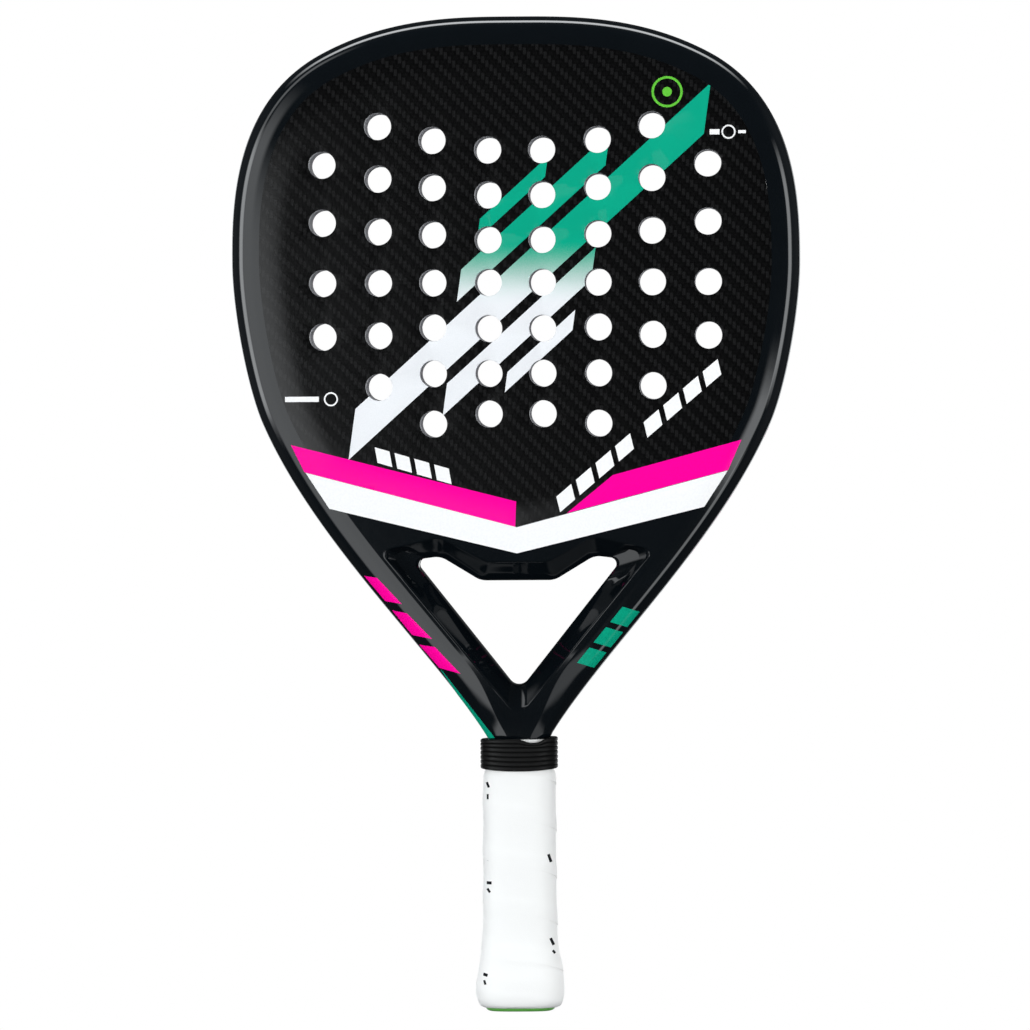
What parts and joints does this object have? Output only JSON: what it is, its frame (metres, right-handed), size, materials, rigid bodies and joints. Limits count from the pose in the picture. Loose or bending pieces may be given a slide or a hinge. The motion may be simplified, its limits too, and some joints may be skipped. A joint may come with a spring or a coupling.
{
  "type": "padel racket",
  "caption": "Teardrop padel racket: perforated flat carbon faces over a foam core in a tubular hoop, with an open throat bridge and a short wrapped handle with a collar and butt cap.",
  "frame": {"origin": "middle of the butt's flat end, at the bottom of the racket", "axes": "+Z from the butt to the tip, +X across the face, -Y out of the front face"},
  "size_m": [0.26, 0.038, 0.455],
  "materials": {
    "gloss_frame": "clear lacquer over black carbon laminate",
    "carbon_face": "satin lacquer over carbon twill",
    "core_foam": "grey closed-cell foam",
    "handle_foam": "rigid foam",
    "fibre_wrap": "resin-bound fibre wrap",
    "cushion_grip": "cushioned synthetic grip",
    "white_overgrip": "matt tacky polyurethane tape",
    "adhesive_tape": "thin adhesive tape",
    "collar_rubber": "ribbed matt rubber",
    "cap_plastic": "moulded plastic",
    "green_plastic": "moulded green plastic"
  },
  "bodies": {
    "root": {"frame_tube": "gloss_frame", "throat_bridge": "gloss_frame", "front_face_skin": "carbon_face", "rear_face_skin": "carbon_face", "eva_core": "core_foam", "handle_core": "handle_foam", "handle_pallet_front": "handle_foam", "handle_pallet_rear": "handle_foam", "handle_sleeve": "fibre_wrap", "base_grip": "cushion_grip", "overgrip": "white_overgrip", "finishing_tape": "adhesive_tape", "rubber_collar": "collar_rubber", "butt_cap": "cap_plastic", "butt_cap_disc": "green_plastic"}
  },
  "joints": []
}
